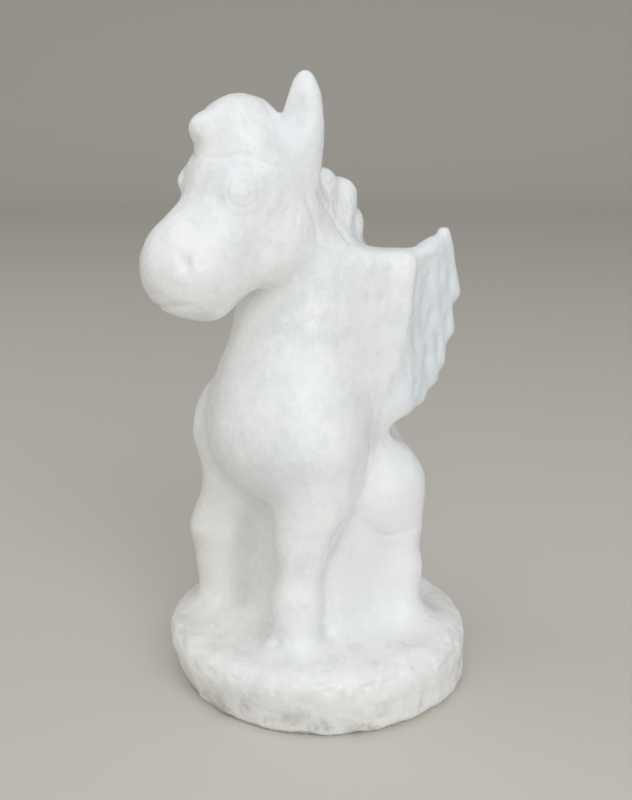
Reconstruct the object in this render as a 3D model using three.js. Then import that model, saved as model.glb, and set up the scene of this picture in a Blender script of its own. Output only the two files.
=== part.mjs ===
// A small winged horse carved from one block of pale stone, standing on a round base of the same block.
//
// The horse looks along -Y, its left side is +X and up is +Z. The origin is the middle of the base's underside.
// The body is written as a distance field: each muscle, lock and feather is a ball, a cone or a soft-edged
// block, and they are joined with a blend, as a carver leaves a hollow and not a sharp corner between them.
// The field is then turned into a closed mesh, and the mesh is thinned where the stone is smooth.

import * as THREE from 'three';

// Driving sizes, in millimetres
const BASE_RADIUS = 34;
const BASE_HEIGHT = 13.7;
const BASE_EDGE = 5.4; // rounding of the base's upper edge
const BASE_FOOT = 1.6; // rounding of the base's lower edge
const BASE_TAPER = 2.2; // how much less its radius is at the underside
const BASE_LEAN = [-1.2, -1.6]; // how far the base's top stands to the side of its underside
const FIGURE_HEIGHT = 116.4; // from the base's top to the tip of the left ear
const FIGURE_ASIDE = -2.3; // the horse's middle plane stands a little to its own right of the base's middle
const FOOT_BLEND = 6; // width of the hollow where the legs grow out of the base

// The mesh's fineness
const CELL = 1.3; // edge of a grid cell
const TRIANGLES = 9400;

// The pose is drawn for a horse this tall, with z measured from the base's top and x from the middle plane,
// and is scaled to FIGURE_HEIGHT
const DRAWN_HEIGHT = 116.4;

const length = (x, y, z = 0) => Math.sqrt(x * x + y * y + z * z);

// Soft joins between distances: k is the width of the blend
const join = (a, b, k) => {
  const h = Math.max(k - Math.abs(a - b), 0) / k;
  return Math.min(a, b) - h * h * k / 4;
};
const overlap = (a, b, k) => -join(-a, -b, k);

// Joins many shapes with one width of blend
const together = (k, ...shapes) => (x, y, z) => {
  let d = shapes[0](x, y, z);
  for (let i = 1; i < shapes.length; i++) d = join(d, shapes[i](x, y, z), k);
  return d;
};

// Cuts a shape out of another, with a soft rim
const carved = (k, whole, ...cuts) => (x, y, z) => {
  let d = whole(x, y, z);
  for (const shape of cuts) d = overlap(d, -shape(x, y, z), k);
  return d;
};

// Coordinates in a frame set at a centre and turned, in degrees about X, Y and Z
function frame(centre, turns) {
  const euler = new THREE.Euler(...turns.map(THREE.MathUtils.degToRad), 'ZYX');
  const e = new THREE.Matrix4().makeRotationFromEuler(euler).elements;
  const [cx, cy, cz] = centre;
  return (shape) => (x, y, z) => {
    const dx = x - cx;
    const dy = y - cy;
    const dz = z - cz;
    return shape(
      e[0] * dx + e[1] * dy + e[2] * dz,
      e[4] * dx + e[5] * dy + e[6] * dz,
      e[8] * dx + e[9] * dy + e[10] * dz);
  };
}

// An egg with three radii
function ball(centre, [rx, ry, rz], turns = [0, 0, 0]) {
  return frame(centre, turns)((u, v, w) => {
    const near = length(u / rx, v / ry, w / rz);
    const steep = length(u / rx / rx, v / ry / ry, w / rz / rz);
    return near * (near - 1) / Math.max(steep, 1e-6);
  });
}

// A block with three half sizes and round edges
function block(centre, half, round, turns = [0, 0, 0]) {
  const [hx, hy, hz] = half.map((h) => h - round);
  return frame(centre, turns)((u, v, w) => {
    const du = Math.abs(u) - hx;
    const dv = Math.abs(v) - hy;
    const dw = Math.abs(w) - hz;
    return length(Math.max(du, 0), Math.max(dv, 0), Math.max(dw, 0)) + Math.min(Math.max(du, dv, dw), 0) - round;
  });
}

// A cone with round ends from a to b, ra and rb thick; flat under 1 thins its section along X
function cone([ax, ay, az], [bx, by, bz], ra, rb, flat = 1) {
  const sx = bx - ax;
  const sy = by - ay;
  const sz = bz - az;
  const length2 = sx * sx + sy * sy + sz * sz;
  return (x, y, z) => {
    const px = x - ax;
    const py = y - ay;
    const pz = z - az;
    const t = Math.min(1, Math.max(0, (px * sx + py * sy + pz * sz) / length2));
    return length((px - t * sx) / flat, py - t * sy, pz - t * sz) - ra - t * (rb - ra);
  };
}

// A limb: cones through a list of [x, y, z, radius]
function limb(k, ...stations) {
  return together(k, ...stations.slice(1).map((to, i) => cone(stations[i], to, stations[i][3], to[3])));
}

// A lock of hair: a limb along a smooth curve through [x, y, z] points, thinning from one radius to another
function lock(points, thick, slim, steps = 10) {
  const curve = new THREE.CatmullRomCurve3(points.map((p) => new THREE.Vector3(...p)));
  const stations = curve.getPoints(steps).map((p, i) => [p.x, p.y, p.z, thick + (slim - thick) * i / steps]);
  return limb(1, ...stations);
}

// The same shape on both sides of the middle plane
const bothSides = (shape) => (x, y, z) => shape(Math.abs(x), y, z);

// Base: a round slab with soft edges, a little smaller underneath and leaning a little
function base() {
  return (x, y, z) => {
    const edge = z > BASE_HEIGHT / 2 ? BASE_EDGE : BASE_FOOT;
    const lean = z / BASE_HEIGHT - 0.5;
    const radius = BASE_RADIUS - BASE_TAPER * (0.5 - lean);
    const out = length(x - lean * BASE_LEAN[0], y - lean * BASE_LEAN[1]) - (radius - edge);
    const up = Math.abs(z - BASE_HEIGHT / 2) - (BASE_HEIGHT / 2 - edge);
    return Math.min(Math.max(out, up), 0) + length(Math.max(out, 0), Math.max(up, 0)) - edge;
  };
}

// Neck, chest, barrel and rump
function trunk() {
  const neck = limb(6, [0, -6.4, 54, 13], [0, -4.6, 62, 12], [0, -2.4, 70, 10.3], [0, -4.4, 80, 8.8], [0, -8, 90, 8.6]);
  const withers = limb(6, [0, 0, 70, 10], [0, 6, 52, 12.5]);
  const chest = ball([1, -12, 44.4], [14.6, 13.2, 14.6]);
  const barrel = ball([0, 1, 37], [14.5, 16, 13.5]);
  const rump = ball([0, 11.2, 32], [12.4, 10.8, 11.2]);
  const leftShoulder = ball([10.6, -8.6, 43.5], [9, 9.6, 13.5]);
  const rightShoulder = ball([-12.4, -11, 42.5], [8.4, 9.5, 11.5]);
  const haunches = bothSides(ball([14.4, 7.7, 29.5], [7.8, 10.2, 9.5]));
  const body = together(8, neck, withers, chest, barrel, rump, leftShoulder);
  return together(3, together(6, body, haunches), rightShoulder);
}

// Legs
function legs() {
  const leftFore = limb(5,
    [11, -10.5, 40, 10], [12.9, -10.7, 31, 6.6], [13, -12.9, 26, 5], [12.8, -14.4, 20.5, 4.2],
    [12.6, -15.6, 10, 4.1], [12.9, -16, 0, 4.6]);
  const rightFore = limb(5,
    [-11.4, -12, 38, 7.6], [-12, -13.6, 28, 4.9], [-14.3, -15.5, 18.6, 4.9], [-14.2, -15.4, 10, 3.6],
    [-14.4, -15.6, 0, 4.6]);
  const hind = limb(4, [14.6, 8, 29, 6], [16.5, 9.8, 21, 4.2], [17, 10.2, 12, 4.1], [17.5, 9.9, 0, 4.9]);
  return together(2, leftFore, rightFore, bothSides(hind));
}

// Stone left standing between the legs, up to the belly
function stump() {
  const middle = block([0.4, -1.4, 11], [17, 10.6, 19], 6);
  const rear = block([0, 13, 12], [8.6, 10, 19], 4);
  const besideHindLeg = ball([19.4, 4.2, 8], [2.6, 1.4, 10]);
  return carved(2, together(2, middle, rear), besideHindLeg);
}

// Tail: locks that arch off the rump, spread, and draw together again where they meet the base
function tail() {
  const locks = [-1, -0.33, 0.33, 1].map((side) => lock([
    [side * 1.5, 14.6, 35.6], [side * 4, 21.6 - Math.abs(side), 30.6], [side * 6, 25 - Math.abs(side), 21],
    [side * 5 + 0.5, 25 - Math.abs(side), 10], [side * 3 + 1, 24, 0],
  ], 3.4, 2.8));
  return together(0.8, ...locks);
}

// Head: skull, bridge, round muzzle, cheeks, jaw, and the lower lip that parts from it at the mouth. Its left side
// is cut flatter and fuller than its right.
function head() {
  const skull = ball([0, -15.3, 95.8], [9.7, 11.2, 9.5]);
  const bridge = limb(4, [0, -17.7, 92.8, 8.3], [0, -25.2, 80.8, 7.4]);
  const jaw = bothSides(cone([2.6, -25.4, 79.2], [4.8, -12.2, 81.8], 6.6, 6.2));
  const muzzle = ball([0, -29, 78.8], [9.9, 10.2, 10.1]);
  const cheeks = bothSides(ball([5.2, -13, 86.4], [5.8, 10, 11.4], [0, 0, -6]));
  const leftTemple = cone([2.6, -21, 93.5], [3, -24.4, 84.5], 6.3, 6.6);
  const lip = ball([0, -27, 73.6], [7.4, 6.7, 5.7]);
  const leftEye = ball([6.4, -22, 94.4], [2.3, 4.2, 4], [0, 0, 14]);
  const rightEye = ball([-6.9, -22.6, 94.5], [2.7, 4.2, 4], [0, 0, -14]);
  const nostrils = bothSides(ball([7.8, -35.3, 80.8], [1, 1.4, 2.1], [0, 0, 40]));
  const face = together(2.6, together(7, skull, bridge, muzzle), together(4, cheeks, jaw), leftTemple);
  const whole = together(0.6, together(2.6, face, leftEye, rightEye), lip);
  return carved(1, whole, nostrils);
}

// Ears: the left stands up, the right lies back behind the forelock
function ears() {
  const left = ball([6.6, -7.3, 103.3], [4.2, 2.8, 12.6], [0, 2, 48]);
  const leftRoot = cone([6, -8.8, 92], [6.4, -8.2, 103], 3.3, 3.2);
  const right = ball([-7.2, -3.5, 101], [3, 3.4, 8], [-40, 0, 0]);
  const rightRoot = cone([-6.6, -8, 95], [-7, -6, 99], 4, 3.6);
  return together(2.4, left, leftRoot, right, rightRoot);
}

// Forelock: a thick tuft that falls forward over the brow
function forelock() {
  const tuft = ball([-1.7, -16.1, 103.1], [7.4, 9, 8.1]);
  const fringe = ball([-0.3, -18.4, 102.4], [8.8, 6, 3.5]);
  const point = ball([-1.5, -24.2, 104.5], [3.3, 3.5, 3]);
  return together(2.8, tuft, fringe, point);
}

// Mane: a crest down the back of the neck, with locks that fall to both sides
function mane() {
  const crest = new THREE.CatmullRomCurve3([
    [0, -4, 94], [0, 2.6, 92.9], [0, 6.6, 92.1], [0, 9.2, 85.6], [0, 10.8, 79], [0, 12, 71], [0, 13, 60],
  ].map((p) => new THREE.Vector3(...p)));
  const locks = [];
  const count = 8;
  for (let n = 0; n < count; n++) {
    const top = crest.getPointAt(n / (count - 1));
    locks.push(cone([0, top.y, top.z], [5.4, top.y - 6, top.z - 9], 3.9, 3));
  }
  return together(1.2, ...locks.map(bothSides));
}

// Wing, drawn on the left: a smooth shoulder panel that swells out of the neck, and behind its ridge the
// feathers, whose tips step down to the haunch
function wing() {
  const shoulder = block([8.6, 3.2, 62.1], [5, 13, 18.1], 3, [0, 0, -20]);
  // Each feather runs from its root to its tip, as [y, z] pairs, with the radius of its root
  const feathers = [
    [[12, 74], [12.7, 48.9], 2.6], [[15, 76], [17.1, 48.5], 2.6], [[17.6, 78], [20.6, 51.8], 2.6],
    [[19.8, 79], [23, 55.4], 2.6], [[22.4, 80], [25.7, 61.8], 2.4], [[25.1, 82.7], [27.1, 70], 1.7],
  ];
  const shapes = feathers.map(([[y0, z0], [y1, z1], root]) => cone([14, y0, z0], [14.2, y1, z1], root, 2.7, 0.95));
  return together(4, shoulder, together(0.8, ...shapes));
}

// The whole carving
function carving() {
  const body = together(1.6, together(4, trunk(), legs()), stump(), tail());
  const face = together(1.6, head(), ears(), forelock());
  // The head looks a little to the horse's right
  const turnedFace = frame([0, -4, 0], [0, 0, -5])((x, y, z) => face(x, y - 4, z));
  const winged = carved(2, together(6, body, bothSides(wing())), bothSides(ball([13.5, 15, 42.4], [7, 5.2, 2.7])));
  const horse = together(2, winged, turnedFace, mane());
  const scale = FIGURE_HEIGHT / DRAWN_HEIGHT;
  const slab = base();
  return (x, y, z) => {
    const figure = horse((x - FIGURE_ASIDE) / scale, y / scale, (z - BASE_HEIGHT) / scale) * scale;
    return Math.max(join(slab(x, y, z), figure, FOOT_BLEND), -z);
  };
}

// The corners of a box that holds the whole shape: each side of a small box moves out until it is clear of the stone
function boxRound(field, clear) {
  const low = [-clear, -clear, -0.8 * clear];
  const high = [clear, clear, clear];
  const isNear = (axis, place) => {
    const [u, v] = [(axis + 1) % 3, (axis + 2) % 3];
    const p = [place, place, place];
    for (p[u] = low[u]; p[u] <= high[u]; p[u] += clear) {
      for (p[v] = low[v]; p[v] <= high[v]; p[v] += clear) if (field(...p) < 0.8 * clear) return true;
    }
    return false;
  };
  for (let moved = true; moved;) {
    moved = false;
    for (let axis = 0; axis < 3; axis++) {
      for (const [corner, out] of [[low, -clear], [high, clear]]) {
        if (!isNear(axis, corner[axis])) continue;
        corner[axis] += out;
        moved = true;
      }
    }
  }
  return [low, high];
}

// Turns a field into a closed mesh: one vertex for each patch of surface in a grid cell, and one square for
// each grid edge that the surface crosses.
function polygonise(field, low, high, cell) {
  const [nx, ny, nz] = low.map((v, i) => Math.ceil((high[i] - v) / cell) + 1);
  const step = [1, nx, nx * ny];
  const value = new Float64Array(nx * ny * nz);
  let at = 0;
  for (let k = 0; k < nz; k++) {
    for (let j = 0; j < ny; j++) {
      for (let i = 0; i < nx; i++) {
        value[at++] = field(low[0] + i * cell, low[1] + j * cell, low[2] + k * cell) || 1e-9;
      }
    }
  }
  // A cell's corners are numbered by their bits, its edges by lower corner and axis
  const edges = [];
  for (let axis = 0; axis < 3; axis++) {
    for (let c = 0; c < 8; c++) if (!(c & (1 << axis))) edges.push([c, c | (1 << axis), axis]);
  }
  const edgeFrom = (corner, axis) => edges.findIndex(([p, , a]) => p === corner && a === axis);
  // Round each face of a cell: an edge, the corner it shares with the next edge, the next edge
  const turns = [];
  for (let axis = 0; axis < 3; axis++) {
    const [u, v] = [1 << ((axis + 1) % 3), 1 << ((axis + 2) % 3)];
    for (const c of [0, 1 << axis]) {
      const ring = [c, c | u, c | u | v, c | v];
      const sides = ring.map((p, n) => edges.findIndex(([a, b]) => (a | b) === (p | ring[(n + 1) % 4])
        && (a & b) === (p & ring[(n + 1) % 4])));
      turns.push(ring.map((_, n) => [sides[n], ring[(n + 1) % 4], sides[(n + 1) % 4]]));
    }
  }
  const offset = [0, 1, 2, 3, 4, 5, 6, 7].map((c) => (c & 1) * step[0] + ((c >> 1) & 1) * step[1] + (c >> 2) * step[2]);
  const positions = [];
  const vertexOf = new Map(); // a cell and one of its edges to the vertex there
  for (let k = 0; k + 1 < nz; k++) {
    for (let j = 0; j + 1 < ny; j++) {
      for (let i = 0; i + 1 < nx; i++) {
        at = i + j * step[1] + k * step[2];
        const inside = offset.map((o) => value[at + o] < 0);
        if (inside.every((v) => v === inside[0])) continue;
        const group = edges.map(([p, q], n) => (inside[p] !== inside[q] ? n : -1));
        const find = (n) => (group[n] === n ? n : find(group[n]));
        for (const face of turns) {
          const crossed = face.filter(([n]) => group[n] >= 0);
          if (crossed.length === 2) group[find(crossed[0][0])] = find(crossed[1][0]);
          // Where two opposite corners of a face are inside, each stays a patch of its own
          if (crossed.length === 4) {
            for (const [n, corner, m] of face) if (inside[corner]) group[find(n)] = find(m);
          }
        }
        const patches = new Map();
        edges.forEach(([p, q, axis], n) => {
          if (group[n] < 0) return;
          const root = find(n);
          if (!patches.has(root)) patches.set(root, { sum: [0, 0, 0], members: [] });
          const patch = patches.get(root);
          const t = value[at + offset[p]] / (value[at + offset[p]] - value[at + offset[q]]);
          for (let d = 0; d < 3; d++) patch.sum[d] += ((p >> d) & 1) + (d === axis ? t : 0);
          patch.members.push(n);
        });
        for (const { sum, members } of patches.values()) {
          for (const n of members) vertexOf.set(at * 12 + n, positions.length);
          positions.push([i, j, k].map((g, d) => low[d] + (g + sum[d] / members.length) * cell));
        }
      }
    }
  }
  const faces = [];
  for (let k = 1; k + 1 < nz; k++) {
    for (let j = 1; j + 1 < ny; j++) {
      for (let i = 1; i + 1 < nx; i++) {
        at = i + j * step[1] + k * step[2];
        for (let axis = 0; axis < 3; axis++) {
          const here = value[at] < 0;
          if (here === value[at + step[axis]] < 0) continue;
          const [a, b] = [(axis + 1) % 3, (axis + 2) % 3];
          const ring = [[0, 0], [1, 0], [1, 1], [0, 1]].map(([u, v]) =>
            vertexOf.get((at - u * step[a] - v * step[b]) * 12 + edgeFrom((u << a) | (v << b), axis)));
          if (!here) ring.reverse();
          faces.push([ring[0], ring[1], ring[2]], [ring[0], ring[2], ring[3]]);
        }
      }
    }
  }
  return { positions, faces };
}

// Moves each vertex onto the field's surface, by no more than a share of a cell, and keeps the underside flat
function settle(field, positions, cell) {
  const h = cell / 20;
  for (const p of positions) {
    if (p[2] < h) {
      p[2] = 0;
      continue;
    }
    const d = field(...p);
    const slope = [0, 1, 2].map((axis) => {
      const q = [...p];
      q[axis] += h;
      return (field(...q) - d) / h;
    });
    const move = Math.max(-0.35 * cell, Math.min(0.35 * cell, d)) / Math.max(length(...slope), 0.5);
    slope.forEach((s, axis) => {
      p[axis] -= s * move;
    });
    p[2] = Math.max(p[2], 0);
  }
}

const minus = (a, b) => [a[0] - b[0], a[1] - b[1], a[2] - b[2]];
const cross = (a, b) => [a[1] * b[2] - a[2] * b[1], a[2] * b[0] - a[0] * b[2], a[0] * b[1] - a[1] * b[0]];
const dot = (a, b) => a[0] * b[0] + a[1] * b[1] + a[2] * b[2];

// Thins a closed mesh to a number of triangles: the edge whose loss changes the surface least goes first
function thin(positions, faces, wanted) {
  const around = positions.map(() => new Set()); // the faces round each vertex
  faces.forEach((face, f) => face.forEach((v) => around[v].add(f)));
  const normalOf = (a, b, c) => cross(minus(b, a), minus(c, a));
  // Each vertex sums the squared distances to the planes round it: a symmetric 4 by 4 matrix in ten numbers
  const error = positions.map(() => new Float64Array(10));
  for (const face of faces) {
    const [a, b, c] = face.map((v) => positions[v]);
    const n = normalOf(a, b, c);
    const area = length(...n) || 1e-12;
    const [x, y, z] = n.map((s) => s / area);
    const w = -dot([x, y, z], a);
    const terms = [x * x, x * y, x * z, x * w, y * y, y * z, y * w, z * z, z * w, w * w];
    for (const v of face) terms.forEach((t, i) => { error[v][i] += t * area; });
  }
  const cost = (q, [x, y, z]) => x * x * q[0] + 2 * x * y * q[1] + 2 * x * z * q[2] + 2 * x * q[3]
    + y * y * q[4] + 2 * y * z * q[5] + 2 * y * q[6] + z * z * q[7] + 2 * z * q[8] + q[9];
  // The best place for the vertex that an edge becomes: the least cost, or else the best of three points
  const best = (u, v) => {
    const q = error[u].map((t, i) => t + error[v][i]);
    const middle = positions[u].map((t, i) => (t + positions[v][i]) / 2);
    const [a, b, c, d] = [[q[0], q[1], q[2]], [q[1], q[4], q[5]], [q[2], q[5], q[7]], [-q[3], -q[6], -q[8]]];
    const whole = dot(a, cross(b, c));
    const tries = [middle, positions[u], positions[v]];
    const spread = length(...minus(positions[u], positions[v]));
    const size = q[0] + q[4] + q[7];
    if (Math.abs(whole) > 1e-5 * size ** 3) {
      const point = [dot(d, cross(b, c)) / whole, dot(a, cross(d, c)) / whole, dot(a, cross(b, d)) / whole];
      if (length(...minus(point, middle)) < 1.5 * spread) tries.unshift(point);
    }
    const flat = positions[u][2] === 0 || positions[v][2] === 0;
    if (flat) for (const p of tries) if (p !== positions[u] && p !== positions[v]) p[2] = 0;
    const kept = flat ? tries.filter((p) => p[2] === 0) : tries;
    const scored = kept.map((p) => [cost(q, p), p]);
    const [worth, point] = scored.reduce((m, s) => (s[0] < m[0] ? s : m));
    return { u, v, point, worth: worth + 1e-7 * spread * spread };
  };
  // A heap of the edges, cheapest first
  const heap = [];
  const push = (item) => {
    let i = heap.push(item) - 1;
    while (i > 0 && heap[(i - 1) >> 1].worth > item.worth) {
      heap[i] = heap[(i - 1) >> 1];
      i = (i - 1) >> 1;
    }
    heap[i] = item;
  };
  const pop = () => {
    const top = heap[0];
    const last = heap.pop();
    if (heap.length) {
      let i = 0;
      for (;;) {
        let child = 2 * i + 1;
        if (child >= heap.length) break;
        if (child + 1 < heap.length && heap[child + 1].worth < heap[child].worth) child++;
        if (heap[child].worth >= last.worth) break;
        heap[i] = heap[child];
        i = child;
      }
      heap[i] = last;
    }
    return top;
  };
  const stamp = new Int32Array(positions.length);
  const neighbours = (v) => {
    const found = new Set();
    for (const f of around[v]) for (const w of faces[f]) if (w !== v) found.add(w);
    return found;
  };
  const add = (u, v) => {
    const item = best(u, v);
    item.stamps = [stamp[u], stamp[v]];
    push(item);
  };
  positions.forEach((_, u) => {
    for (const v of neighbours(u)) if (u < v) add(u, v);
  });
  // A face round u or v may not turn over or become a sliver when its corner moves
  const spoils = (u, v, point) => {
    for (const [from, other] of [[u, v], [v, u]]) {
      for (const f of around[from]) {
        if (faces[f].includes(other)) continue;
        const before = faces[f].map((w) => positions[w]);
        const after = faces[f].map((w) => (w === from ? point : positions[w]));
        const n = normalOf(...before);
        const m = normalOf(...after);
        const size = length(...m);
        if (dot(n, m) < 0.3 * length(...n) * size) return true;
        const sides = after.map((p, i) => length(...minus(p, after[(i + 1) % 3])));
        if (size < 0.08 * Math.max(...sides) ** 2) return true;
      }
    }
    return false;
  };
  let count = faces.length;
  while (count > wanted && heap.length) {
    const { u, v, point, stamps } = pop();
    if (stamps[0] !== stamp[u] || stamps[1] !== stamp[v] || !around[u].size || !around[v].size) continue;
    const near = neighbours(v);
    const shared = [...neighbours(u)].filter((w) => near.has(w));
    if (shared.length !== 2 || spoils(u, v, point)) continue;
    for (const f of [...around[v]]) {
      if (faces[f].includes(u)) {
        for (const w of faces[f]) around[w].delete(f);
        faces[f] = null;
        count--;
      } else {
        faces[f] = faces[f].map((w) => (w === v ? u : w));
        around[u].add(f);
      }
    }
    around[v].clear();
    positions[u] = [...point];
    error[v].forEach((t, i) => { error[u][i] += t; });
    stamp[u]++;
    for (const w of neighbours(u)) add(u, w);
  }
  // Only the vertices still in use
  const place = new Map();
  const kept = faces.filter((face) => face);
  for (const face of kept) for (const v of face) if (!place.has(v)) place.set(v, place.size);
  return {
    positions: [...place.keys()].map((v) => positions[v]),
    faces: kept.map((face) => face.map((v) => place.get(v))),
  };
}

const field = carving();
const [low, high] = boxRound(field, 3 * CELL);
const crude = polygonise(field, low, high, CELL);
settle(field, crude.positions, CELL);
const fine = thin(crude.positions, crude.faces, TRIANGLES);

const geometry = new THREE.BufferGeometry();
geometry.setAttribute('position', new THREE.Float32BufferAttribute(fine.positions.flat(), 3));
geometry.setIndex(fine.faces.flat());
geometry.computeVertexNormals();

const stone = new THREE.MeshStandardMaterial({ color: 0xeef0ee, roughness: 0.45, metalness: 0 });
const mesh = new THREE.Mesh(geometry, stone);
mesh.name = 'pegasus_carving';
const group = new THREE.Group();
group.add(mesh);
export default group;
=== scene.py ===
"""A small winged horse carved with its round base from one block of milky white stone.

The carving's solid comes from the frame. Here its surface is remade fine enough to hold the chisel work:
locks of hair, feathers, the eyes, the mouth and the hand-cut wobble of the base. Sizes are in millimetres
while the surface is worked, and in metres in the stone's colouring and on the stage.
"""

import math
from collections import namedtuple

import bmesh
import bpy
import numpy as np
from mathutils import Matrix, Vector
from mathutils.bvhtree import BVHTree


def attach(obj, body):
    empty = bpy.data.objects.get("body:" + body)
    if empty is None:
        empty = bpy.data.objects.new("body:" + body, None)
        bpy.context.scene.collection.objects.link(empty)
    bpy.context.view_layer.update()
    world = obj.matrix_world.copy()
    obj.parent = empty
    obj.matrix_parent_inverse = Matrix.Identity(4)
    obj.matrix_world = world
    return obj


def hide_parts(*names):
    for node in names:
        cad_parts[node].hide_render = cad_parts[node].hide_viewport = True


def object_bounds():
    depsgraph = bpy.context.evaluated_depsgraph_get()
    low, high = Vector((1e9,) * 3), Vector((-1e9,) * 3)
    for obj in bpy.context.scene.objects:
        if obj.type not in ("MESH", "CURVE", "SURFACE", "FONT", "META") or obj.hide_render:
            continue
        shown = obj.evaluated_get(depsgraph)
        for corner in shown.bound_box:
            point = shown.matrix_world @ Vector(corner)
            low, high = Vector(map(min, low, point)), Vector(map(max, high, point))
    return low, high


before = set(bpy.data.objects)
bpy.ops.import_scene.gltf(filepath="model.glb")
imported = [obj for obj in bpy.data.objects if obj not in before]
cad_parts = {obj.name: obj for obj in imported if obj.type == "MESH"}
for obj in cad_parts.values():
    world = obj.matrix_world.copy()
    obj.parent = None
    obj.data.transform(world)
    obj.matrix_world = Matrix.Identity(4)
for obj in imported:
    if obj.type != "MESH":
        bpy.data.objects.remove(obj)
cad_low, cad_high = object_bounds()

MM = 0.001
NODE = "pegasus_carving"
PIECE = "carved_stone_pegasus"

# The horse's middle plane, and its head, which turns a little to the horse's right about the neck
MIDDLE = Vector((-2.3, -4.0, 0.0))
HEAD_TURN = math.radians(5)
BASE_TOP = 13.7

# The fine surface
JOIN_WITHIN = 1e-6  # metres between corners that are one
SQUARE = 0.44  # edge of the small even squares it is remade in
MOST_TRIANGLES = 196000
SOFTEN_ROUNDS = 10
SMOOTH, PUSH_BACK = 0.5, -0.53  # the two halves of a softening round
LAST_SHARE = 0.5  # how strongly the finished cuts are softened


# Noise that gives the same numbers each time


def scatter(ix, iy, iz, seed):
    """A number from -1 to 1 for each whole-number place; the large odd numbers only stir it well."""
    n = ix * 73856093 ^ iy * 19349663 ^ iz * 83492791 ^ seed * 49979687
    n = (n ^ n >> 13) * 1274126177 & 0x7FFFFFFF
    return (n >> 7 & 0xFFFF) / 32767.5 - 1


def clouds(points, size, seed):
    """Smooth noise over space, from about -1 to 1, with lumps of that size; a size may differ by axis."""
    place = points / np.array(size)
    low = np.floor(place).astype(np.int64)
    share = place - low
    share = share * share * (3 - 2 * share)
    total = np.zeros(len(points))
    for corner in range(8):
        step = np.array([corner & 1, corner >> 1 & 1, corner >> 2])
        weight = np.prod(np.where(step, share, 1 - share), axis=1)
        x, y, z = (low + step).T
        total += weight * scatter(x, y, z, seed)
    return total


def lumps(points, layers):
    """Layers of noise laid over each other, each with its depth, the size of its lumps and its seed."""
    return sum(depth * clouds(points, size, seed) for depth, size, seed in layers)


def ramp(value, start, end):
    """0 up to start, 1 from end on, and a smooth rise between them; start may be the larger."""
    t = np.clip((value - start) / (end - start), 0, 1)
    return t * t * (3 - 2 * t)


def waver(n, size, pace):
    """A small change from one strand to the next, so that no two are alike."""
    return size * math.sin(pace * n)


# The surface and the cuts laid on it


class Surface:
    """The carving's skin while it is worked: its points, its squares and what joins them."""

    def __init__(self, mesh):
        count = len(mesh.vertices)
        points = np.zeros(count * 3)
        mesh.vertices.foreach_get("co", points)
        self.points = points.reshape(-1, 3) / MM
        corners = np.zeros(len(mesh.loops), dtype=np.int64)
        mesh.loops.foreach_get("vertex_index", corners)
        self.squares = corners.reshape(-1, 4)
        edges = np.zeros(len(mesh.edges) * 2, dtype=np.int64)
        mesh.edges.foreach_get("vertices", edges)
        self.edges = edges.reshape(-1, 2)
        self.around = np.bincount(self.edges.ravel(), minlength=count)

    def gather(self, index, values):
        """Sums the values of each index, for every point and axis."""
        count = len(self.points)
        return np.stack([np.bincount(index, values[:, k], count) for k in range(3)], axis=1)

    def normals(self):
        a, b, c, d = (self.points[self.squares[:, k]] for k in range(4))
        face = np.cross(c - a, d - b)
        total = sum(self.gather(self.squares[:, k], face) for k in range(4))
        return total / np.maximum(np.linalg.norm(total, axis=1, keepdims=True), 1e-9)

    def soften(self, rounds, share=1.0):
        """Evens out the surface and pushes it back each time, so that it doesn't shrink."""
        first, second = self.edges.T
        for _ in range(rounds):
            for step in (SMOOTH, PUSH_BACK):
                points = self.points
                total = self.gather(first, points[second]) + self.gather(second, points[first])
                middle = total / self.around[:, None]
                self.points = points + (middle - points) * step * share

    def sink(self, depth):
        """Moves each point into the stone by its depth."""
        self.points = self.points - self.normals() * depth[:, None]

    def tree(self):
        return BVHTree.FromPolygons(self.points.tolist(), self.squares.tolist())


# A cut: the stops of its line, its width and depth, the share of its length over which each end tapers off,
# and the number of points that its line is laid with. A negative depth leaves a raised line.
Groove = namedtuple("Groove", "stops width depth blunt steps", defaults=(0.25, 12))


def mirrored(point, turn=0.0):
    """The same place on the other side of the horse."""
    left = Vector((math.cos(turn), -math.sin(turn), 0))
    away = Vector(point) - MIDDLE
    return Vector(point) - left * (2 * away.dot(left))


def line_through(stops, steps):
    """Points along a smooth curve through the stops."""
    stops = np.array(stops, float)
    if len(stops) == 2:
        t = np.linspace(0, 1, steps)[:, None]
        return stops[0] * (1 - t) + stops[1] * t
    padded = np.vstack([2 * stops[0] - stops[1], stops, 2 * stops[-1] - stops[-2]])
    found = []
    for t in np.linspace(0, len(stops) - 1, steps):
        i = min(int(t), len(stops) - 2)
        a, b, c, d = padded[i:i + 4]
        u = t - i
        found.append(0.5 * (2 * b + (c - a) * u + (2 * a - 5 * b + 4 * c - d) * u ** 2
                            + (3 * b - a - 3 * c + d) * u ** 3))
    return np.array(found)


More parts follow.
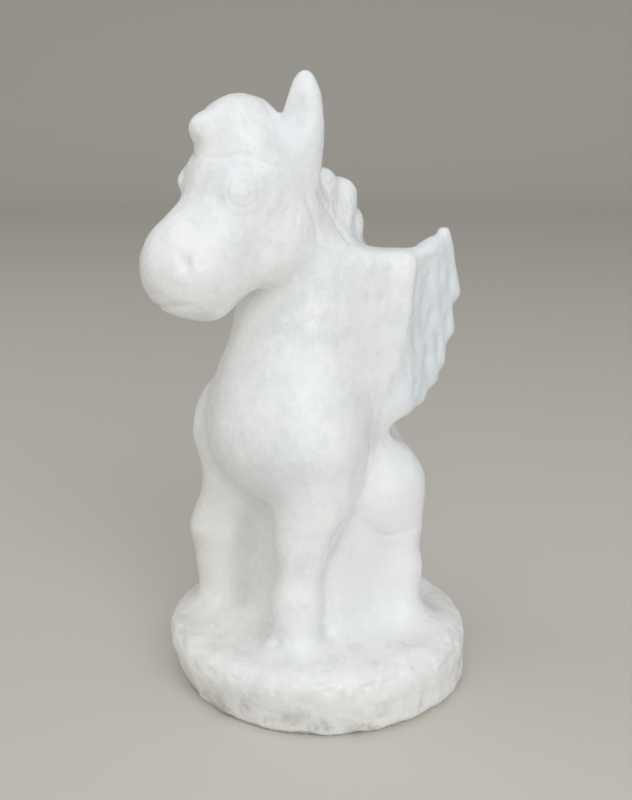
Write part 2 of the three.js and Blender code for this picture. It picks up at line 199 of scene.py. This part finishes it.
class Carver:
    """Lays cuts on a surface and keeps the sum of their depths."""

    def __init__(self, surface):
        self.surface = surface
        self.tree = surface.tree()
        self.depth = np.zeros(len(surface.points))

    def on_stone(self, places):
        """The nearest places on the surface."""
        return np.array([self.tree.find_nearest(Vector(p))[0] for p in places])

    def cut(self, groove):
        line = self.on_stone(line_through(groove.stops, groove.steps))
        points = self.surface.points
        reach = 2.2 * groove.width
        inside = (points > line.min(0) - reach) & (points < line.max(0) + reach)
        near = np.flatnonzero(np.all(inside, axis=1))
        if not len(near):
            return
        q = points[near]
        closest = np.full(len(near), 1e9)
        along = np.zeros(len(near))
        for i, (a, b) in enumerate(zip(line[:-1], line[1:])):
            run = b - a
            t = np.clip(((q - a) @ run) / max(run @ run, 1e-9), 0, 1)
            away = np.linalg.norm(q - a - t[:, None] * run, axis=1)
            nearer = away < closest
            closest[nearer] = away[nearer]
            along[nearer] = ((i + t) / (len(line) - 1))[nearer]
        taper = ramp(along, 0, groove.blunt) * ramp(along, 1, 1 - groove.blunt)
        self.depth[near] += groove.depth * np.exp(-(closest / groove.width) ** 2) * taper

    def both(self, groove, turn=0.0):
        """The same cut on both sides of the horse."""
        self.cut(groove)
        self.cut(groove._replace(stops=[mirrored(p, turn) for p in groove.stops]))

    def away_from(self, place):
        """How far each point is from a place on the surface."""
        return np.linalg.norm(self.surface.points - self.on_stone([place]), axis=1)

    def ring(self, place, radius, width, depth):
        """A soft ring round a place; with no radius it is a dent, or a lump where the depth is negative."""
        self.depth += depth * np.exp(-((self.away_from(place) - radius) / width) ** 2)

    def done(self):
        self.surface.sink(self.depth)


# Face


EYE = (5.7, -24.1, 107.3)
# Radius, width and depth of the two rings of the lids, of the socket, of its rim and of the eye's dome
EYE_RINGS = ((3.1, 0.45, 0.22), (1.8, 0.4, 0.18), (4.96, 1.1, 0.16), (7.13, 1.1, -0.12), (0.0, 2.3, -0.22))
NOSTRILS = [
    Groove(stops, width=0.6, depth=depth, blunt=0.4, steps=14)
    for stops, depth in (
        (((2.5, -34.8, 96.5), (2.3, -34.7, 94.4), (2.7, -35.5, 92.4)), 0.2),
        (((1.3, -36.6, 96.4), (1.3, -36.9, 94.6), (1.9, -36.8, 92.6)), -0.22),
        (((3.5, -34.1, 96.6), (3.8, -34.2, 94.4), (3.9, -34.4, 92.4)), -0.22),
    )
]
HALF_MOUTH = ((-2.2, -36.0, 85.6), (0.8, -34.4, 85.9), (2.8, -33.0, 86.9))
MOUTH = Groove([*(mirrored(p, HEAD_TURN) for p in HALF_MOUTH[:0:-1]), *HALF_MOUTH],
               width=0.8, depth=0.5, blunt=0.4, steps=40)
BROW = Groove(((2.2, -26.4, 111.3), (1.9, -27.5, 108.9), (3.5, -27.5, 105.6), (4.9, -26.0, 103.6)),
              width=1.6, depth=0.1, blunt=0.4, steps=14)
CHEEK_EDGE = Groove(((7.4, -10.8, 106.7), (7.7, -9.9, 104.1), (8.0, -8.5, 100.5), (8.2, -7.9, 97.4),
                     (8.5, -9.2, 95.4)), width=0.7, depth=0.42, blunt=0.3, steps=20)
CHEEK_LOW = Groove(((8.5, -10.8, 95.3), (8.7, -14.0, 95.9), (8.0, -16.5, 97.4)),
                   width=1.0, depth=0.15, blunt=0.45, steps=10)
CHEEK_STROKES = [
    Groove(stops, width=0.38, depth=0.22, blunt=0.4, steps=6)
    for stops in (
        ((7.5, -16.0, 105.7), (7.0, -17.9, 101.9)),
        ((7.6, -14.4, 105.2), (7.5, -16.1, 101.4)),
        ((7.7, -12.3, 104.2), (8.3, -14.2, 99.6)),
        ((8.2, -10.9, 101.6), (8.8, -12.4, 97.4)),
        ((7.3, -17.6, 104.4), (6.8, -19.2, 101.0)),
    )
]
# The lump of the brow on the far side, with its radius, width and depth
FAR_BROW = (-12.0, -25.8, 108.3)
FAR_BROW_LUMP = (0.0, 1.5, -0.45)
EAR_HOLLOW = Groove(((5.2, -9.4, 126.0), (5.2, -10.0, 122.7), (5.5, -11.1, 118.5), (5.8, -12.0, 114.6)),
                    width=1.9, depth=0.8, blunt=0.5)


def face(carver):
    """Eyes, nostrils, mouth and cheeks on both sides of the turned head, and the left ear's hollow."""
    for place in (EYE, mirrored(EYE, HEAD_TURN)):
        for radius, width, depth in EYE_RINGS:
            carver.ring(place, radius, width, depth)
    for groove in NOSTRILS:
        carver.both(groove, HEAD_TURN)
    carver.cut(MOUTH)
    for groove in (BROW, CHEEK_EDGE, CHEEK_LOW, *CHEEK_STROKES):
        carver.both(groove, HEAD_TURN)
    carver.ring(FAR_BROW, *FAR_BROW_LUMP)
    carver.cut(EAR_HOLLOW)


# Hair: the forelock's strands, the mane's locks and the tail


HAIRLINE = Groove(((-4.8, -26.7, 112.7), (0.2, -25.8, 113.3), (2.9, -23.7, 113.9), (4.9, -21.0, 113.5),
                   (6.1, -18.7, 112.6), (6.8, -16.5, 111.6), (7.2, -13.6, 110.6)),
                  width=0.42, depth=0.48, blunt=0.15, steps=24)
FORELOCK_LOCKS = [
    Groove(stops, width=0.8, depth=0.26, blunt=0.45)
    for stops in (
        ((-5.0, -26.7, 119.8), (-5.4, -27.2, 118.4), (-5.1, -27.1, 116.9)),
        ((-3.9, -21.5, 123.1), (-0.5, -23.1, 119.4), (0.4, -24.4, 115.7)),
        ((-1.5, -20.0, 122.7), (1.7, -19.9, 119.4), (4.1, -21.4, 115.3)),
        ((2.2, -18.7, 119.4), (4.4, -19.9, 117.0), (5.0, -17.8, 115.7)),
        ((2.5, -16.2, 118.9), (4.3, -18.3, 117.3), (4.3, -16.1, 116.7)),
        ((-2.6, -13.5, 124.0), (0.8, -13.2, 122.3), (4.2, -12.6, 118.4)),
        ((-3.2, -11.0, 123.4), (-0.6, -9.4, 121.6), (2.4, -8.6, 118.2)),
        ((-4.2, -12.4, 124.0), (-4.8, -9.0, 121.6), (-4.6, -7.2, 117.4)),
    )
]
# The curled point of the forelock and the dent under it, each with its radius, width and depth
CURL = (-4.9, -27.6, 119.2)
CURL_LUMP = (0.0, 2.3, -0.42)
UNDER_CURL = (-5.1, -27.1, 116.4)
CURL_DENT = (0.0, 1.3, 0.35)

MANE_FRONT = Groove(((7.1, -8.0, 106.9), (6.0, -4.3, 104.2), (5.8, -1.4, 100.9), (6.6, 0.5, 97.6),
                     (9.0, 0.6, 95.2)), width=0.8, depth=0.55, blunt=0.15, steps=20)
MANE_CREST = ((-2.3, -2.6, 108.4), (-2.3, 2.6, 107.6), (-2.3, 7.2, 105.4), (-2.3, 9.2, 99.3),
              (-2.3, 10.8, 92.7), (-2.3, 12, 84.7), (-2.3, 13, 73.7))
MANE_STRANDS = 26
# How far a strand's root, middle and tip lie from the crest
MANE_STRAND = ((1.6, -1.4, 1.2), (5.0, -0.6, -3.6), (6.6, -3.6, -9.5))

TAIL_STRANDS = 11
# From the rump down: the reach of the outer strands to the side, and how far back and high they are
TAIL_RUN = ((2.4, 19.5, 50.0), (5.6, 26.5, 43.0), (8.0, 29.5, 34.0), (6.6, 29.0, 22.0), (5.0, 27.5, 14.9))


def forelock(carver):
    """Soft locks under a curled point, with the line where they meet the forehead."""
    carver.ring(CURL, *CURL_LUMP)
    carver.ring(UNDER_CURL, *CURL_DENT)
    for groove in (HAIRLINE, *FORELOCK_LOCKS):
        carver.both(groove, HEAD_TURN)


def mane(carver):
    """Strands that fall from the crest to both sides, and the mane's front edge."""
    carver.both(MANE_FRONT)
    for n, place in enumerate(line_through(MANE_CREST, MANE_STRANDS)):
        root, middle, tip = (place + np.array(step) for step in MANE_STRAND)
        wander = waver(n, 0.9, 2.4)
        tip += (0, wander, -wander)
        depth = 0.2 + waver(n, 0.12, 3.7)
        carver.both(Groove((root, middle, tip), width=0.4, depth=depth, blunt=0.35, steps=10))


def tail(carver):
    """Strands side by side down the rump, gathered at the base."""
    for n in range(TAIL_STRANDS):
        side = -1 + 2 * n / (TAIL_STRANDS - 1)
        x = MIDDLE.x + waver(n, 0.7, 2.1)
        stops = [(x + side * wide, y, z) for wide, y, z in TAIL_RUN]
        carver.cut(Groove(stops, width=0.5, depth=0.24 + waver(n, 0.1, 2.9), blunt=0.2, steps=18))


# Wings


RIDGE = Groove(((14.6, 13.7, 91.9), (15.3, 12.6, 88.7), (15.3, 12.0, 85.5), (15.3, 11.8, 81.6),
                (15.0, 10.5, 77.4), (14.6, 9.4, 72.1), (14.1, 8.1, 68.2), (13.7, 6.0, 63.8)),
               width=1.4, depth=-0.1, blunt=0.15, steps=24)
# Gouges between the feathers, with the width and depth of each
GOUGES = [
    Groove(stops, width, depth, blunt=0.45)
    for stops, width, depth in (
        (((14.5, 14.8, 91.3), (14.9, 14.4, 87.1), (15.2, 13.6, 82.9), (15.3, 13.0, 79.0)), 1.0, 0.55),
        (((14.1, 18.8, 90.5), (14.2, 18.4, 87.1), (14.2, 18.8, 83.6)), 0.7, 0.4),
        (((14.3, 19.3, 83.2), (14.3, 19.3, 79.1), (14.2, 18.2, 75.2)), 0.9, 0.75),
        (((13.9, 22.0, 92.4), (14.0, 21.6, 88.2), (14.1, 22.3, 85.0)), 0.6, 0.35),
        (((13.8, 24.2, 90.4), (14.1, 25.2, 85.9), (14.3, 24.8, 82.0)), 0.8, 0.5),
        (((14.3, 25.0, 81.6), (14.2, 24.5, 77.9), (14.2, 23.4, 74.5)), 0.8, 0.65),
        (((15.4, 12.4, 79.6), (15.1, 13.9, 75.0), (14.7, 15.2, 69.7)), 0.9, 0.6),
        (((14.2, 16.0, 84.6), (14.3, 16.3, 80.0), (14.4, 15.8, 76.4)), 0.6, 0.35),
        (((14.2, 18.0, 74.2), (14.1, 18.2, 70.7), (14.4, 17.5, 66.8)), 0.8, 0.6),
        (((14.3, 21.4, 76.8), (14.3, 21.5, 72.2), (14.3, 20.9, 68.7)), 0.8, 0.6),
        (((14.9, 10.1, 73.0), (15.3, 11.1, 68.5), (15.4, 11.8, 63.9)), 0.8, 0.5),
        (((14.9, 14.5, 67.8), (15.1, 14.1, 64.9), (15.4, 12.8, 61.9)), 0.8, 0.6),
        (((13.8, 7.5, 69.8), (14.1, 8.0, 65.7), (14.6, 9.3, 61.9)), 0.7, 0.4),
    )
]
# Faint strokes down a wing's smooth front
STROKES = [
    Groove(stops, width=0.7, depth=0.15, blunt=0.45)
    for stops in (
        ((11.8, 1.1, 90.5), (12.5, 2.1, 83.9), (12.9, 2.9, 77.1)),
        ((12.7, 7.1, 92.3), (13.5, 7.4, 86.2), (13.4, 6.7, 79.6)),
        ((12.6, 4.4, 86.0), (13.2, 4.8, 79.0), (13.2, 4.0, 70.0)),
    )
]
FACET_LOW = Groove(((14.3, 14.3, 92.3), (14.1, 19.5, 92.8), (13.6, 25.2, 93.0)),
                   width=0.6, depth=-0.15, blunt=0.3)
# A wing's outer face begins between these distances from the middle plane
WING_FACE = (9.0, 10.5)
# The heights over which the feathers begin, and fade out under the wing's top edge
WING_FOOT = (61.5, 65.0)
WING_TOP = (93.5, 91.0)
FEATHER_STEP = 0.5  # how far the feathers lie below the smooth front, at the ridge
FEATHER_LUMPS = ((0.22, (1.9, 1.9, 4.6), 31),)


def wings(carver):
    """Feathers that lie below the wing's smooth front, parted by upright gouges of uneven length."""
    points = carver.surface.points
    x, y, z = points.T
    heights = [stop[2] for stop in RIDGE.stops[::-1]]
    ridge_y = np.interp(z, heights, [stop[1] for stop in RIDGE.stops[::-1]])
    behind = y - ridge_y  # how far a point is past the ridge, where the step down to the feathers starts
    where = ramp(np.abs(x - MIDDLE.x), *WING_FACE) * ramp(z, *WING_FOOT) * ramp(z, *WING_TOP)
    carver.depth += FEATHER_STEP * where * ramp(behind, -0.8, 1.8) * ramp(behind, 9, 2)
    carver.depth += where * ramp(behind, 0.4, 2) * lumps(points, FEATHER_LUMPS)
    for groove in (RIDGE, *GOUGES, *STROKES, FACET_LOW):
        carver.both(groove)


# Body


SHOULDER_CREASE = Groove(((15.1, 0.3, 58.3), (16.0, -1.0, 52.3), (16.3, -2.0, 46.1), (16.7, -6.1, 42.5),
                          (17.2, -11.6, 38.4), (16.3, -12.6, 34.6)), width=0.8, depth=0.45, steps=16)
FAR_SHOULDER_CREASE = SHOULDER_CREASE._replace(stops=[mirrored(p) for p in SHOULDER_CREASE.stops], depth=0.35)
CHEST_CREASE = Groove(((-13.8, -18.3, 65.5), (-7.2, -23.9, 60.3), (-9.6, -21.9, 52.9), (-11.3, -19.4, 47.5)),
                      width=0.8, depth=0.35, steps=16)
THIGH_CREASE = Groove(((17.3, -6.5, 43.8), (15.3, -1.0, 38.1), (16.2, 3.8, 34.6), (18.8, 6.7, 35.3),
                       (18.9, 12.4, 35.7)), width=0.9, depth=0.35, steps=18)


def body(carver):
    """Creases where the shoulders, the chest and the thighs meet the body."""
    for groove in (SHOULDER_CREASE, FAR_SHOULDER_CREASE, CHEST_CREASE):
        carver.cut(groove)
    carver.both(THIGH_CREASE)


# Base, and the finish of the whole


BROKEN_EDGE = Groove(((-21.0, -22.0, 3.5), (-17.5, -25.5, 2.6), (-12.0, -28.5, 2.2), (-5.0, -31.0, 1.6),
                      (3.0, -32.0, 0.8)), width=2.8, depth=0.35, blunt=0.4, steps=20)
FLATS = 17
FLAT_DEPTH = 0.24
BASE_SUNK = 0.14  # average depth of the base's cuts, so that its lumps stay within the solid
# Each layer of lumps: its depth, the size of its lumps and its seed
BASE_LUMPS = ((0.26, (8.0, 8.0, 7.0), 11), (0.18, 3.4, 12), (0.16, 1.7, 18))
TOP_LUMPS = ((0.25, 6.0, 13), (0.17, 2.6, 14))
BODY_LUMPS = ((0.18, 9.0, 21), (0.14, 4.2, 22))
FINE_LUMPS = ((0.055, 1.7, 23),)
# Chips, each kind with its depth and the size of the noise that places it
FOOT_CHIPS, FOOT_CHIP_SIZE = 0.35, (4.5, 4.5, 2.6)
RIM_CHIPS, RIM_CHIP_SIZE = 0.5, (2.6, 2.6, 1.6)
PITS, PIT_SIZE = 0.3, 1.3
PIT_PLACES = ((12.0, -22.4, 14.7), (17.0, -8.1, 14.6))


def flat_sides(x, y):
    """The depth of the upright flats, of uneven width, that the chisel leaves round the base."""
    turn = np.arctan2(y, x)
    wander = turn + 0.16 * np.sin(3 * turn + 1.0) + 0.07 * np.sin(7 * turn)
    place = (wander / (2 * math.pi) * FLATS) % 1.0 - 0.5
    return FLAT_DEPTH * (1 - 4 * place ** 2)


def base(carver):
    """Flats, lumps and chips left by the chisel, with a broken stretch along the lower edge."""
    points = carver.surface.points
    x, y, z = points.T
    on_base = ramp(z, BASE_TOP + 1.5, BASE_TOP - 2.5)
    carver.depth += on_base * (BASE_SUNK + lumps(points, BASE_LUMPS))
    carver.depth += on_base * flat_sides(x, y) * ramp(z, BASE_TOP, BASE_TOP - 5)
    on_top = ramp(z, BASE_TOP - 1.5, BASE_TOP - 0.5) * ramp(z, BASE_TOP + 5, BASE_TOP + 2)
    carver.depth += on_top * lumps(points, TOP_LUMPS)
    by_foot = ramp(z, 5.5, 2.0)
    carver.depth += FOOT_CHIPS * ramp(clouds(points, FOOT_CHIP_SIZE, 15), 0.42, 0.7) * by_foot
    on_rim = ramp(z, BASE_TOP - 6.5, BASE_TOP - 3) * ramp(z, BASE_TOP, BASE_TOP - 1.5)
    carver.depth += RIM_CHIPS * on_rim * ramp(clouds(points, RIM_CHIP_SIZE, 16), 0.3, 0.65)
    carver.cut(BROKEN_EDGE)
    for place in PIT_PLACES:
        near = ramp(carver.away_from(place), 5.0, 1.5)
        carver.depth += PITS * near * ramp(clouds(points, PIT_SIZE, 17), 0.05, 0.6)


def hand_finish(carver):
    """The slow undulation and the finer unevenness that rubbing by hand leaves everywhere."""
    points = carver.surface.points
    above = ramp(points[:, 2], BASE_TOP - 2, BASE_TOP + 3)
    carver.depth += above * lumps(points, BODY_LUMPS)
    carver.depth += lumps(points, FINE_LUMPS)


# The carved piece


UNDERSIDE_REACH = 0.3  # points lower than this may lie on the underside
FACES_DOWN = -0.8  # upward share of a normal on the underside


def settle(piece):
    """Turns what the piece's modifiers make into its mesh."""
    deps = bpy.context.evaluated_depsgraph_get()
    mesh = bpy.data.meshes.new_from_object(piece.evaluated_get(deps))
    mesh.name = PIECE
    piece.data = mesh
    piece.modifiers.clear()


def fine_surface(node):
    """The node's mesh with its split corners joined, its facets rounded and its skin remade in squares."""
    mesh = node.data.copy()
    work = bmesh.new()
    work.from_mesh(mesh)
    bmesh.ops.remove_doubles(work, verts=work.verts, dist=JOIN_WITHIN)
    work.to_mesh(mesh)
    work.free()
    piece = bpy.data.objects.new(PIECE, mesh)
    bpy.context.scene.collection.objects.link(piece)
    rounded = piece.modifiers.new("rounded", "SUBSURF")
    rounded.levels = 1
    even = piece.modifiers.new("even", "REMESH")
    even.mode = "VOXEL"
    even.voxel_size = SQUARE * MM
    settle(piece)
    return piece


def carve(piece):
    """Lays every cut on the piece, then keeps it within the solid's box and its underside flat."""
    surface = Surface(piece.data)
    underside = surface.points[:, 2] < UNDERSIDE_REACH
    surface.soften(SOFTEN_ROUNDS)
    for steps in ((base,), (body, face), (forelock, mane, tail, wings), (hand_finish,)):
        carver = Carver(surface)
        for step in steps:
            step(carver)
        carver.done()
    surface.soften(1, LAST_SHARE)
    points = np.clip(surface.points, np.array(cad_low) / MM, np.array(cad_high) / MM)
    points[underside & (surface.normals()[:, 2] < FACES_DOWN), 2] = 0
    piece.data.vertices.foreach_set("co", (points * MM).ravel())
    piece.data.update()


def thin_out(piece):
    """Fewer triangles where the stone is plain, so that the mesh stays under its limit."""
    share = MOST_TRIANGLES / (2 * len(piece.data.polygons))
    if share < 1:
        fewer = piece.modifiers.new("fewer", "DECIMATE")
        fewer.ratio = share
        settle(piece)


def make_carving(stone):
    piece = fine_surface(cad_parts[NODE])
    carve(piece)
    thin_out(piece)
    piece.data.shade_smooth()
    piece.data.materials.clear()
    piece.data.materials.append(stone)
    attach(piece, "root")
    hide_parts(NODE)


# Materials


class Value:
    """A number that varies over the surface, with the arithmetic that a shader can do on it."""

    def __init__(self, paint, socket):
        self.paint = paint
        self.socket = socket

    def __add__(self, other):
        return self.paint.math("ADD", self, other)

    __radd__ = __add__

    def __mul__(self, other):
        return self.paint.math("MULTIPLY", self, other)

    __rmul__ = __mul__

    def __sub__(self, other):
        return self.paint.math("SUBTRACT", self, other)

    def __rsub__(self, other):
        return self.paint.math("SUBTRACT", other, self)

    def between(self, start, end):
        """0 at start, 1 at end, and a smooth rise between them."""
        made = self.paint.node("ShaderNodeMapRange", {"interpolation_type": "SMOOTHSTEP"},
                               {"Value": self, "From Min": start, "From Max": end})
        return Value(self.paint, made.outputs["Result"])


class Paint:
    """A material and the nodes that make it."""

    # Numbers of a Mix node's sockets when it mixes colours; their names are the same for every kind of mix
    SHARE, FIRST, SECOND, MIXED = 0, 6, 7, 2

    def __init__(self, name):
        self.material = bpy.data.materials.new(name)
        self.material.use_nodes = True
        self.tree = self.material.node_tree
        self.place = self.node("ShaderNodeTexCoord").outputs["Object"]

    def feed(self, node, inputs):
        """Sets or links a node's sockets."""
        for name, value in inputs.items():
            if isinstance(value, Value):
                value = value.socket
            if isinstance(value, bpy.types.NodeSocket):
                self.tree.links.new(value, node.inputs[name])
            else:
                node.inputs[name].default_value = value

    def node(self, kind, settings=None, inputs=None):
        """One node: its settings first, then the values or links of its sockets."""
        made = self.tree.nodes.new(kind)
        for name, value in (settings or {}).items():
            setattr(made, name, value)
        self.feed(made, inputs or {})
        return made

    def shader(self, inputs):
        self.feed(self.tree.nodes["Principled BSDF"], inputs)

    def math(self, operation, first, second):
        made = self.node("ShaderNodeMath", {"operation": operation}, {0: first, 1: second})
        return Value(self, made.outputs[0])

    def mix(self, share, first, second):
        """A colour between two colours."""
        made = self.node("ShaderNodeMix", {"data_type": "RGBA"},
                         {self.SHARE: share, self.FIRST: first, self.SECOND: second})
        return made.outputs[self.MIXED]

    def noise(self, size, detail=2.0, rough=0.5, stretch=(1, 1, 1)):
        """Clouds with lumps of that size, in metres, from 0 to 1."""
        place = self.node("ShaderNodeMapping", {}, {"Vector": self.place, "Scale": stretch}).outputs[0]
        made = self.node("ShaderNodeTexNoise", {}, {"Vector": place, "Scale": 1 / size, "Detail": detail,
                                                    "Roughness": rough})
        return Value(self, made.outputs["Fac"])


MILK = (0.905, 0.905, 0.885, 1)
ICE = (0.79, 0.835, 0.85, 1)
CHALK = (0.970, 0.970, 0.960, 1)
GREY = (0.80, 0.825, 0.825, 1)
# grey of the painted shade on the feathers and the left ear
PAINTED_SHADE_GREY = (0.75, 0.80, 0.835, 1)
SANDY = (0.81, 0.79, 0.74, 1)
# colour of the painted shade low on the base
WARM_PAINTED_SHADE = (0.78, 0.72, 0.62, 1)
DUST = (0.50, 0.45, 0.38, 1)

# A wing's ridge runs back by this share of its height, from a place this far in front of the origin
WING_LEAN, WING_START = 0.27, 0.0112
GLOSSIEST, DULLER_BY = 0.34, 0.22
GRAIN_DEPTH = 0.0002
STONE_IOR = 1.52
GLOW_SHARE = 0.75
GLOW_DEPTH = 0.0024
GLOW_TINT = (1.0, 0.95, 0.9)


def milky_stone():
    """White stone with clouds, veins, chisel scratches and dust low on the base. Painted shade cools the
    feathers and the ear and darkens a leg and one low side of the base; painted light whitens the lower back
    half, and white flecks along the base's rim are painted glints.
    """
    paint = Paint("milky_white_stone")
    place = paint.node("ShaderNodeSeparateXYZ", {}, {"Vector": paint.place})
    across, behind, height = (Value(paint, place.outputs[axis]) for axis in "XYZ")
    cloud = paint.noise(0.016, 4.0, 0.6)
    vein = paint.noise(0.026, 5.0, 0.65, (1, 1, 0.5))
    mottle = paint.noise(0.0045, 4.0, 0.65)
    scratch = paint.noise(0.0018, 3.0, 0.6, (1, 1, 0.35))
    stain = paint.noise(0.008, 4.0, 0.7)
    painted_glint_speck = paint.noise(0.0016, 2.0, 0.6)

    # painted light: whiter paint low on the back half stands in for light bouncing up from below onto the
    # haunch and hind legs
    lower_rear_painted_light = height.between(0.062, 0.040) * behind.between(-0.010, -0.002)
    # painted shade: cool grey paint on the feathers behind the wing's ridge stands in for their shade and a
    # cool reflection
    past_ridge = behind - height * WING_LEAN + WING_START
    feather_painted_shade = past_ridge.between(-0.001, 0.004) * height.between(0.057, 0.064)
    # painted shade: cool grey paint on the left ear stands in for the shade of its hollow
    ear_painted_shade = height.between(0.106, 0.118) * behind.between(-0.0145, -0.0115) * across.between(0.0, 0.003)
    on_base = height.between(0.018, 0.013)
    shaded_leg = height.between(0.050, 0.040) * across.between(-0.006, -0.012)
    hollows = height.between(0.018, 0.014) * stain.between(0.52, 0.66)
    # painted shade: warm, darker paint low on the base, strongest on the horse's right side, stands in for
    # shade and warm bounced light
    base_low_side_painted_shade = height.between(0.010, 0.001) * across.between(0.012, -0.008)
    dirty_foot = height.between(0.0095, 0.0005) * stain.between(0.46, 0.64)
    # the band along the base's rim, where small white flecks are painted glints
    on_rim = height.between(0.004, 0.008) * height.between(0.0155, 0.0125)

    colour = MILK
    for share, tint in (
        (cloud.between(0.40, 0.66) * 0.55, ICE),
        (vein.between(0.53, 0.62) * 0.6, CHALK),
        (mottle.between(0.51, 0.64) * 0.55, CHALK),
        (mottle.between(0.48, 0.36) * 0.6, GREY),
        (scratch.between(0.54, 0.70) * 0.45, CHALK),
        (lower_rear_painted_light * 0.6, CHALK),
        (feather_painted_shade * 0.65, PAINTED_SHADE_GREY),
        (ear_painted_shade * 0.35, PAINTED_SHADE_GREY),
        (on_base * 0.3, SANDY),
        (shaded_leg * 0.7, SANDY),
        (hollows * 0.18, DUST),
        (base_low_side_painted_shade * 0.4, WARM_PAINTED_SHADE),
        (dirty_foot * 0.6, DUST),
        (on_rim * painted_glint_speck.between(0.63, 0.70) * 0.7, CHALK),
    ):
        colour = paint.mix(share, colour, tint)

    grain = paint.noise(0.0011, 2.0) + paint.noise(0.0032, 3.0)
    bump = paint.node("ShaderNodeBump", {}, {"Strength": 1.0, "Distance": GRAIN_DEPTH, "Height": grain})
    paint.shader({
        "Base Color": colour,
        "Roughness": GLOSSIEST + DULLER_BY * paint.noise(0.005, 3.0),
        "Normal": bump.outputs["Normal"],
        "IOR": STONE_IOR,
        "Subsurface Weight": GLOW_SHARE,
        "Subsurface Radius": GLOW_TINT,
        "Subsurface Scale": GLOW_DEPTH,
    })
    return paint.material


def floor_paint():
    paint = Paint("pale_floor")
    paint.shader({"Base Color": (0.66, 0.62, 0.56, 1), "Roughness": 0.75})
    return paint.material


# Stage: a pale floor that curves up behind the carving, soft lights and the camera


FLOOR_WIDE = 6.0
FLOOR_NEAR = 6.0
FLOOR_DEEP = 1.1
SWEEP = 0.35
WALL_HIGH = 1.6
SWEEP_STEPS = 16

# Each light's place, size, power and colour
COOL = (0.94, 0.975, 1.0)
LIGHTS = {
    "window": ((0.57, -0.28, 0.38), 0.60, 2.35, COOL),
    "overhead": ((0.02, -0.20, 0.80), 0.50, 0.9, COOL),
    "room": ((-0.60, -0.50, 0.38), 0.50, 0.72, (1.0, 0.96, 0.90)),
}
LIT_PLACE = Vector((0.0, 0.0, 0.06))
STUDIO_COLOUR = (0.96, 0.975, 1.0, 1)
STUDIO_STRENGTH = 0.44

PHOTO_LONG_SIDE = 800
FOCAL_PIXELS = 1100
SENSOR = 36.0
CAMERA_PLACE = (0.1682, -0.1524, 0.1225)
CAMERA_TURN = math.radians(48)
CAMERA_DOWN = math.radians(15)


def make_floor():
    profile = [(-FLOOR_NEAR, 0.0), (FLOOR_DEEP, 0.0)]
    for n in range(1, SWEEP_STEPS + 1):
        angle = math.pi / 2 * n / SWEEP_STEPS
        profile.append((FLOOR_DEEP + SWEEP * math.sin(angle), SWEEP * (1 - math.cos(angle))))
    profile.append((FLOOR_DEEP + SWEEP, WALL_HIGH))
    turn = Matrix.Rotation(CAMERA_TURN, 4, "Z")
    points = [turn @ Vector((side * FLOOR_WIDE, away, up)) for away, up in profile for side in (-1, 1)]
    faces = [(2 * n, 2 * n + 1, 2 * n + 3, 2 * n + 2) for n in range(len(profile) - 1)]
    mesh = bpy.data.meshes.new("floor")
    mesh.from_pydata(points, [], faces)
    mesh.shade_smooth()
    mesh.materials.append(floor_paint())
    floor = bpy.data.objects.new("floor", mesh)
    bpy.context.scene.collection.objects.link(floor)


def make_lights():
    for name, (place, size, power, colour) in LIGHTS.items():
        data = bpy.data.lights.new(name, "AREA")
        data.shape = "DISK"
        data.size = size
        data.energy = power
        data.color = colour
        light = bpy.data.objects.new(name, data)
        light.location = place
        light.rotation_euler = (LIT_PLACE - Vector(place)).to_track_quat("-Z", "Y").to_euler()
        bpy.context.scene.collection.objects.link(light)
    world = bpy.data.worlds.new("studio")
    world.use_nodes = True
    background = world.node_tree.nodes["Background"].inputs
    background["Color"].default_value = STUDIO_COLOUR
    background["Strength"].default_value = STUDIO_STRENGTH
    bpy.context.scene.world = world


def make_camera():
    data = bpy.data.cameras.new("camera")
    data.sensor_fit = "AUTO"
    data.sensor_width = SENSOR
    data.lens = FOCAL_PIXELS / PHOTO_LONG_SIDE * SENSOR
    data.clip_start = 0.01
    data.clip_end = 20
    camera = bpy.data.objects.new("camera", data)
    camera.location = CAMERA_PLACE
    camera.rotation_euler = (math.pi / 2 - CAMERA_DOWN, 0, CAMERA_TURN)
    bpy.context.scene.collection.objects.link(camera)
    bpy.context.scene.camera = camera


bpy.context.scene.view_settings.view_transform = "Standard"
make_camera()
make_carving(milky_stone())
make_floor()
make_lights()
